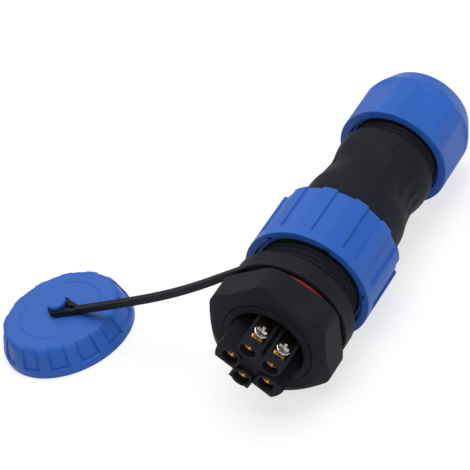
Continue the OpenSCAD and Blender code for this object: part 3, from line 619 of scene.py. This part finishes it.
# %% Socket shell
PANEL_R, COUPLING_R, PANEL_THREAD_DEPTH = 10.0, 11.6, 0.6
REAR_BORE, FRONT_BORE, INSERT_BORE = 8.3, 9.56, 7.63
INSERT_REAR, INSERT_FRONT = 1, 5
FLANGE_CHAMFER, FLANGE_NECK, NECK_RAMP = 0.7, 0.3, 0.6
TUBE_RIM, RIM_RAMP = 0.8, 1.2
PANEL_RIDGE_END, COUPLING_RUNOUT = -1.6, 0.7
(_, shell_rear, _), (_, shell_front, _) = extent("socket_shell")
flange_r = across("socket_shell", 0)
panel_root, coupling_root = PANEL_R - PANEL_THREAD_DEPTH, COUPLING_R - THREAD_DEPTH
shell_path = rounded([
    (REAR_BORE, shell_rear, 0.4), (PANEL_R, shell_rear, 0.35), (PANEL_R, shell_rear + TUBE_RIM, 0.15),
    (panel_root, shell_rear + RIM_RAMP, 0.1), (panel_root, -NECK_RAMP, 0.1), (PANEL_R, -FLANGE_NECK, 0),
    (PANEL_R, 0, 0), (flange_r, 0, 0.03), (flange_r, FLANGE_T - FLANGE_CHAMFER, 0.6),
    (flange_r - FLANGE_CHAMFER, FLANGE_T, 0.4), (coupling_root, FLANGE_T, 0.3),
    (coupling_root, shell_front, 0.3), (FRONT_BORE, shell_front, 0.2), (FRONT_BORE, INSERT_FRONT, 0),
    (INSERT_BORE, INSERT_FRONT, 0), (INSERT_BORE, INSERT_REAR, 0), (REAR_BORE, INSERT_REAR, 0)])
panel_ridge = thread(PANEL_R, panel_root, panel_start, PANEL_RIDGE_END)
coupling_ridge = thread(COUPLING_R, coupling_root, coupling_start, shell_front - COUPLING_RUNOUT)
piece("socket_shell_moulding", "socket", "black_plastic",
      [sheet(revolve(shell_path, even(200))), sheet(panel_ridge, False, True),
       sheet(coupling_ridge, False, True)], ["socket_shell"])

# %% [markdown]
# ## Panel nut and gasket
# The black nut clamps the socket to its panel. Its corners are cut by a 30 degree cone, as on a
# turned nut, and the hexagon is again laid over the round profile. The red gasket behind it was cut
# from silicone sheet, so its edges are nearly sharp. The loose sheet sits a little off centre.

# %% Panel nut and gasket
NUT_FLATS, NUT_CORNER, NUT_SHARPNESS, NUT_SOFT = 26.6, math.radians(17), 32, 0.25
NUT_CORNER_R, NUT_CHAMFER, NUT_CONE = 14.75, 1.35, math.radians(30)
NUT_BORE, NUT_RIDGE_R, NUT_RIDGE_AWAY = 10.06, 9.5, 0.8
GASKET_BORE, GASKET_SHIFT, GASKET_TOWARDS = 10.5, 0.45, math.radians(37)
(_, nut_front, _), (_, nut_rear, _) = extent("hex_nut")
nut_face = NUT_CORNER_R - NUT_CHAMFER / math.tan(NUT_CONE)


def nut_radius(radius, height, angle):
    """The smaller of the turned profile and the hexagon, with a soft edge where they cross."""
    flat = hexagon(angle, NUT_FLATS, NUT_CORNER, NUT_SHARPNESS)
    apart = np.clip(0.5 + 0.5 * (flat - radius) / NUT_SOFT, 0, 1)
    least = flat * (1 - apart) + radius * apart - NUT_SOFT * apart * (1 - apart)
    return np.where(radius > nut_face - 0.2, least, radius)


nut_path = rounded([
    (NUT_BORE, nut_front + 0.15, 0.05), (NUT_BORE + 0.15, nut_front, 0.05), (nut_face, nut_front, 0.5),
    (NUT_CORNER_R, nut_front + NUT_CHAMFER, 0.2), (NUT_CORNER_R, nut_rear - 0.3, 0.1),
    (NUT_CORNER_R - 0.6, nut_rear, 0.1), (NUT_BORE + 0.5, nut_rear, 0.1), (NUT_BORE, nut_rear - 0.5, 0.1)],
    step=0.16)
hex_ridge = inner_thread(panel_start, NUT_RIDGE_R, NUT_BORE, nut_front + NUT_RIDGE_AWAY,
                         nut_rear - NUT_RIDGE_AWAY)
piece("hex_nut_moulding", "hex_nut", "black_plastic",
      [sheet(revolve(nut_path, even(252), nut_radius)), sheet(hex_ridge, False, True)], ["hex_nut"])

(_, gasket_rear, _), (_, gasket_front, _) = extent("panel_gasket")
gasket_off = GASKET_SHIFT * np.array([math.cos(GASKET_TOWARDS), 0, math.sin(GASKET_TOWARDS)])
# Smaller by the shift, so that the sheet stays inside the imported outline
gasket_r = across("panel_gasket", 0) - GASKET_SHIFT
gasket_path = rounded([(GASKET_BORE, gasket_rear, 0.08), (gasket_r, gasket_rear, 0.12),
                       (gasket_r, gasket_front, 0.12), (GASKET_BORE, gasket_front, 0.08)])
piece("gasket_sheet", "panel_gasket", "red_silicone",
      [sheet(revolve(gasket_path, even(120)) + gasket_off)], ["panel_gasket"])

# %% [markdown]
# ## Dust cap
# The cap has the same panels as the ring, but on a wall that tapers to a soft shoulder. Each panel is
# the wall moved in, with a fine groove along its sides and foot, and it runs out over the shoulder.
# The button that holds the strap is part of the same profile, from the middle of its head down to the
# inside of the cap.

# %% Dust cap
CAP_RIBS, CAP_FIRST, CAP_GRIP, CAP_BAND = 13, math.radians(-22.2), 0.5, 1.9
CAP_TOP, CAP_SHOULDER_R, CAP_SHOULDER, CAP_SKIN_R = 6.8, 13.75, 1.7, 12
CAP_HALF_RIB, CAP_WALL, CAP_STEP = math.pi / CAP_RIBS * 0.4, 0.012, 0.14
GROOVE_TURN, GROOVE_W, GROOVE_DEPTH = 0.024, 0.3, 0.2
SHOULDER_FADE, TOP_FADE = 1.6, 0.9
TOP_GROOVE_R, TOP_GROOVE_HALF, TOP_GROOVE_DEPTH = 9.5, 0.3, 0.14
BUTTON_R, STEM_R, BUTTON_T, BUTTON_GAP = 2.1, 1.45, 0.95, 0.25
RIM_R, RIM_DEPTH, CAP_BORE, CAP_INSIDE = 12.86, 1.2, 11.66, 6.1
CAP_RIDGE_R, CAP_RIDGE_START, CAP_RIDGE_END = 11.05, 1.9, 5.6
STRAP_T, STRAP_W = 1.4, 1.5
cap_low, cap_high = extent("cap")
cap_centre = (cap_low + cap_high) / 2
cap_r = across("cap", 0)


def about_cap(radius, height, angle):
    """Points about the cap's upright axis, with heights from the table."""
    return np.stack([cap_centre[0] + radius * np.cos(angle), cap_centre[1] + radius * np.sin(angle),
                     cap_low[2] + height + 0 * angle], axis=-1)


def cap_radius(radius, height, angle):
    """Panels moved in by the grip's depth at the band and half of it at the top, deeper in their grooves."""
    panel = 1 - on_rib(angle, CAP_RIBS, CAP_FIRST, CAP_HALF_RIB, CAP_WALL)
    over_band = smooth((height - CAP_BAND) / CAP_STEP + 0.5)
    over_band = over_band * smooth((radius - CAP_SHOULDER_R) / SHOULDER_FADE + 1)
    inner = 1 - on_rib(angle, CAP_RIBS, CAP_FIRST, CAP_HALF_RIB + GROOVE_TURN, CAP_WALL)
    middle = inner * smooth((height - CAP_BAND - GROOVE_W) / CAP_STEP + 0.5)
    groove = GROOVE_DEPTH * (1 - middle) * smooth((CAP_TOP - height) / TOP_FADE)
    depth = CAP_GRIP * np.interp(height, [CAP_BAND, CAP_TOP], [1, 0.5]) + groove
    return radius - panel * over_band * depth * (radius > CAP_SKIN_R)


head = CAP_TOP + STRAP_T + BUTTON_GAP
taper = (cap_r - CAP_SHOULDER_R) / (CAP_TOP - CAP_BAND)
cap_path = rounded(
    [(0, head + BUTTON_T, 0), (BUTTON_R, head + BUTTON_T - 0.07, 0.7), (BUTTON_R, head, 0.15),
     (STEM_R, head, 0.1), (STEM_R, CAP_TOP, 0.2), (TOP_GROOVE_R - TOP_GROOVE_HALF, CAP_TOP, 0.3),
     (TOP_GROOVE_R, CAP_TOP - TOP_GROOVE_DEPTH, 0.3), (TOP_GROOVE_R + TOP_GROOVE_HALF, CAP_TOP, 0.3),
     (CAP_SHOULDER_R, CAP_TOP, CAP_SHOULDER)]
    + [(cap_r - taper * rise, CAP_BAND + rise, 0) for rise in (0.4, 0.34, 0.26, 0.2, 0.12, 0.06, 0.02, 0)]
    + [(cap_r, CAP_BAND - drop, 0) for drop in (0.02, 0.06, 0.2)]
    + [(cap_r, 0, 0.35), (RIM_R, 0, 0.15), (RIM_R, RIM_DEPTH, 0), (CAP_BORE, RIM_DEPTH, 0.1),
       (CAP_BORE, CAP_INSIDE, 0.3), (0, CAP_INSIDE, 0)],
    closed=False, step=0.9)
cap_angles = with_edges(even(117), rib_edges(CAP_RIBS, CAP_FIRST, CAP_HALF_RIB), CAP_WALL)
cap_angles = with_edges(cap_angles, rib_edges(CAP_RIBS, CAP_FIRST, CAP_HALF_RIB + GROOVE_TURN), CAP_WALL)
cap_ridge = thread(CAP_RIDGE_R, CAP_BORE, CAP_RIDGE_START, CAP_RIDGE_END, about_cap, outward=False)
piece("cap_moulding", "dust_cap", "blue_plastic",
      [sheet(revolve(cap_path, cap_angles, cap_radius, about_cap), False, True),
       sheet(cap_ridge, False, True)], ["cap"])

# %% [markdown]
# ## Strap
# The strap is one soft moulding: a loop behind the flange, a tail, and an eyelet with a keyhole that
# was pushed over the cap's button. The tail's middle line is a cubic curve that leaves the loop as a
# tangent, as wide as the loop, and comes in nearly level at the cap. Seen from above, it dips aside
# behind the loop and then swings back in a parabola.

# %% Strap
LOOP_R, LOOP_BORE, LOOP_GAP = 13.65, 10.35, 0.02
STRAP_LEAVES, STRAP_SKEW = math.radians(113.5), math.radians(1.8)
LEAVING_PULL, COMING_PULL, COMING_RISE = 20, 22, math.radians(16)
TAIL_T, TAIL_W, TAIL_EDGE, TAIL_DIP, TAIL_LAP, TAIL_WIDENS = 1.5, 1.75, 0.25, 0.5, 0.4, 0.1
EYELET_R, EYELET_BORE, EYELET_REACH, EYELET_EDGE = 2.75, 1.8, 5.4, 0.18
EYELET_PULL, EYELET_LIFT = 0.3, 0.1
KEYHOLE_END, KEYHOLE_HALF, NECK_TURN = 4.2, 0.4, 0.32
eyelet_z = cap_low[2] + CAP_TOP + EYELET_LIFT


def tail_points():
    """The tail: a section carried along a cubic curve in the XZ plane, then moved sideways along Y.

    The sideways move is a parabola in the share of the way from the flange's rim to the eyelet, less
    a dip that goes with the share squared times the fourth power of the rest. The dip is deepest a
    third of the way along, where that product is 2 to the 4th over 3 to the 6th.
    """
    start = (LOOP_R - STRAP_T / 2) * np.array([math.cos(STRAP_LEAVES), math.sin(STRAP_LEAVES)])
    leaving = np.array([-math.sin(STRAP_LEAVES), math.cos(STRAP_LEAVES)])
    finish = np.array([cap_centre[0] + EYELET_REACH - TAIL_LAP, eyelet_z + STRAP_T / 2])
    coming = np.array([math.cos(COMING_RISE), math.sin(COMING_RISE)])
    controls = np.array([start, start + LEAVING_PULL * leaving, finish + COMING_PULL * coming, finish])
    t = np.linspace(0, 1, 90)[:, None]
    weights = np.hstack([(1 - t) ** 3, 3 * (1 - t) ** 2 * t, 3 * (1 - t) * t ** 2, t ** 3])
    line = weights @ controls
    ahead = np.gradient(line, axis=0)
    ahead /= np.linalg.norm(ahead, axis=1)[:, None]
    upward = np.stack([-ahead[:, 1], ahead[:, 0]], axis=1)
    section = rounded([(-TAIL_T / 2, -TAIL_W / 2, TAIL_EDGE), (TAIL_T / 2, -TAIL_W / 2, TAIL_EDGE),
                       (TAIL_T / 2, TAIL_W / 2, TAIL_EDGE), (-TAIL_T / 2, TAIL_W / 2, TAIL_EDGE)])
    flat = line[:, None, :] + section[None, :, :1] * upward[:, None, :]
    rim_run = math.sqrt(flange_r ** 2 - (LOOP_R - STRAP_T) ** 2)
    bend_x = start[0] + rim_run * leaving[0]
    run = bend_x - finish[0]
    share = np.clip((bend_x - flat[..., 0]) / run, 0, None)
    dip = TAIL_DIP * share ** 2 * (1 - share) ** 4 * 3 ** 6 / 2 ** 4
    aside = run * math.tan(STRAP_SKEW) * share ** 2 - dip
    loop_share = (STRAP_W - LOOP_GAP) / TAIL_W
    widening = loop_share + (1 - loop_share) * smooth(share / TAIL_WIDENS)
    tail_y = (section[None, :, 1] - TAIL_W / 2) * widening - LOOP_GAP + aside
    return np.stack([flat[..., 0], tail_y, flat[..., 1]], axis=-1)


def eyelet_outline(angle):
    """Distance from the button's axis to the eyelet's edge: a circle, or the neck that tapers to the tail."""
    slope = math.atan2(EYELET_R - TAIL_W / 2, EYELET_REACH)
    side = EYELET_R * math.cos(slope) / np.clip(np.sin(np.abs(angle) + slope), 1e-3, None)
    neck = np.minimum(side, EYELET_REACH / np.clip(np.cos(angle), 1e-3, None))
    return np.where(np.abs(angle) < math.pi / 2, np.maximum(EYELET_R, neck), EYELET_R)


def eyelet_hole(angle):
    """Distance from the axis to the hole's edge: a circle, or the slot that runs towards the tail."""
    slot = np.minimum(KEYHOLE_HALF / np.clip(np.abs(np.sin(angle)), 1e-3, None),
                      KEYHOLE_END / np.clip(np.cos(angle), 1e-3, None))
    return np.where(np.abs(angle) < math.pi / 2, np.maximum(EYELET_BORE, slot), EYELET_BORE)


def eyelet_points():
    """The eyelet: a plate with round edges between hole and outline, turned to the parabola's end slope."""
    angle = np.sort(np.concatenate([np.linspace(-math.pi, math.pi, 120, endpoint=False),
                                    np.linspace(-NECK_TURN, NECK_TURN, 41)]))
    edge = rounded([(0, 0, EYELET_EDGE), (1, 0, EYELET_EDGE), (1, STRAP_T, EYELET_EDGE),
                    (0, STRAP_T, EYELET_EDGE)], step=0.25)
    inside, outside = eyelet_hole(angle), eyelet_outline(angle)
    radius = inside[None] + edge[:, :1] * (outside - inside)[None]
    turned = angle[None] - 2 * STRAP_SKEW
    return np.stack([cap_centre[0] + EYELET_PULL + radius * np.cos(turned),
                     cap_centre[1] + radius * np.sin(turned), eyelet_z + edge[:, 1:] + 0 * radius], axis=-1)


loop_path = rounded([(LOOP_BORE, -STRAP_W, 0.2), (flange_r, -STRAP_W, 0.4), (flange_r, -LOOP_GAP, 0.03),
                     (LOOP_BORE, -LOOP_GAP, 0.2)])
piece("strap_moulding", "socket", "black_rubber",
      [sheet(revolve(loop_path, even(160))), sheet(tail_points(), False, True), sheet(eyelet_points())],
      ["tether_strap"])

# %% [markdown]
# ## Contacts and clamp screws
# Each pole has a brass contact: a block that clamps the wire, and a sleeve that takes the plug's pin.
# It is one closed lathe profile, from the bottom of the wire hole over the flared collar to the end of
# the sleeve, and a rule that pulls the block's stretch out to a rounded square. Five pan-head screws
# with a cross recess hold the wires. The head is a polar grid: a dome whose height drops where either
# arm of the cross lies. Contacts and screws are then carried to their cells.

# %% Contacts and clamp screws
POLES, POLE_R, FIRST_POLE, TERMINAL_UP = 5, 4.8, math.radians(36), math.radians(43)
BLOCK_HALF, BLOCK_UP, BLOCK_LEN, BLOCK_POWER = 1.6, 1.45, 7.5, 16
COLLAR_R, COLLAR_LEN, COLLAR_FLARE = 1.7, 0.5, 0.35
WIRE_R, WIRE_DEPTH, SLEEVE_R, PIN_R, PIN_DEPTH = 1.0, 5.6, 1.55, 1.03, 7.0
HEAD_R, HEAD_H, HEAD_GAP, SHANK_R, SHANK_END = 1.6, 0.92, 0.03, 0.9, 1.03
CROSS_HALF, CROSS_WALL, CROSS_REACH, CROSS_END, CROSS_DEPTH = 0.23, 0.08, 1.0, 0.3, 0.6
# Radius of the point on the axis where a profile closes
AXIS_R = 0.001


def at_pole(points, number, along):
    """Carries a shape to contact number 1 to 5: its Z axis faces out of the cell, its middle is at along."""
    a = FIRST_POLE + 2 * math.pi / POLES * (number - 1)
    face = 1 if math.cos(a) > 0 else -1
    turn = math.pi / 2 - TERMINAL_UP
    moved = points * [face, 1, face] + [POLE_R * math.sin(a), along, POLE_R * math.cos(a)]
    x, y, z = moved[..., 0], moved[..., 1], moved[..., 2]
    return np.stack([x * math.cos(turn) + z * math.sin(turn), y,
                     z * math.cos(turn) - x * math.sin(turn)], axis=-1)


def block_radius(radius, height, angle):
    """Beyond the collar, the radius goes over to a square whose sides are the block's, with soft corners."""
    across_x, across_z = np.abs(np.cos(angle)) / BLOCK_HALF, np.abs(np.sin(angle)) / BLOCK_UP
    square = (across_x ** BLOCK_POWER + across_z ** BLOCK_POWER) ** (-1 / BLOCK_POWER)
    share = np.clip((radius - COLLAR_R) / COLLAR_R, 0, 1)
    return np.where(radius > COLLAR_R, COLLAR_R + share * (square - COLLAR_R), radius)


def contact_points(length):
    """A contact along Y, with the block's rear face at 0 and the sleeve's end at the length."""
    path = rounded([
        (AXIS_R, WIRE_DEPTH, 0), (WIRE_R, WIRE_DEPTH, 0.1), (WIRE_R, 0, 0.1),
        (WIRE_R + COLLAR_FLARE, -COLLAR_LEN, 0.12), (COLLAR_R, -COLLAR_LEN, 0.15), (COLLAR_R, 0, 0),
        (2 * COLLAR_R, 0, 0.3), (2 * COLLAR_R, BLOCK_LEN, 0.3), (SLEEVE_R, BLOCK_LEN, 0),
        (SLEEVE_R, length, 0.2), (PIN_R, length, 0.2), (PIN_R, length - PIN_DEPTH, 0),
        (AXIS_R, length - PIN_DEPTH, 0)], closed=False, step=1)
    return revolve(path, even(64), block_radius)


def cross_depth(x, y):
    """Depth of the recess: two arms 0.46 mm wide and 2 mm long, deepest in the middle."""
    arm, other = [smooth((CROSS_HALF - np.abs(beside)) / CROSS_WALL + 0.5)
                  * smooth((CROSS_REACH - np.abs(along)) / CROSS_END + 0.5)
                  for along, beside in ((x, y), (y, x))]
    return CROSS_DEPTH * np.maximum(arm, other) * (1 - 0.35 * np.hypot(x, y))


def screw_points():
    """A screw along Z: from the middle of its head over the edge, under the head and down the shank."""
    under = BLOCK_UP + HEAD_GAP
    top = under + HEAD_H
    flat_r = np.linspace(AXIS_R, HEAD_R - 0.4, 28)
    domed = [(r, top - 0.1 * (r / HEAD_R) ** 2, 0) for r in flat_r]
    path = rounded(domed + [(HEAD_R, top - 0.12, 0.4), (HEAD_R, under, 0.1), (SHANK_R, under, 0.05),
                            (SHANK_R, SHANK_END, 0.15), (AXIS_R, SHANK_END, 0)],
                   closed=False, step=0.3)
    angle = even(72)[None]
    radius, height = path[:, :1], path[:, 1:]
    x, y = radius * np.cos(angle), radius * np.sin(angle)
    upper = (np.arange(len(path)) < len(flat_r) + 4)[:, None]
    return np.stack([x, y, height - upper * cross_depth(x, y)], axis=-1)


for k in range(1, POLES + 1):
    (_, rear, _), (_, sleeve_end, _) = extent(f"socket_contact_{k}")
    piece(f"clamp_contact_{k}", "socket", "brass",
          [sheet(at_pole(contact_points(sleeve_end - rear), k, rear), False, True)], [f"socket_contact_{k}"])

for node, body in {"socket_clamp_screws": "socket", "plug_clamp_screws": "plug"}.items():
    low, high = extent(node)
    middle = (low[1] + high[1]) / 2
    screws = [sheet(at_pole(screw_points(), k, middle), False, True) for k in range(1, POLES + 1)]
    piece(node.replace("clamp_screws", "screw_set"), body, "nickel_steel", screws, [node])

# %% [markdown]
# The dressed model has to stay in the imported model's box. At the end the scene is brought up to date.

# %% Finish
bpy.context.view_layer.update()
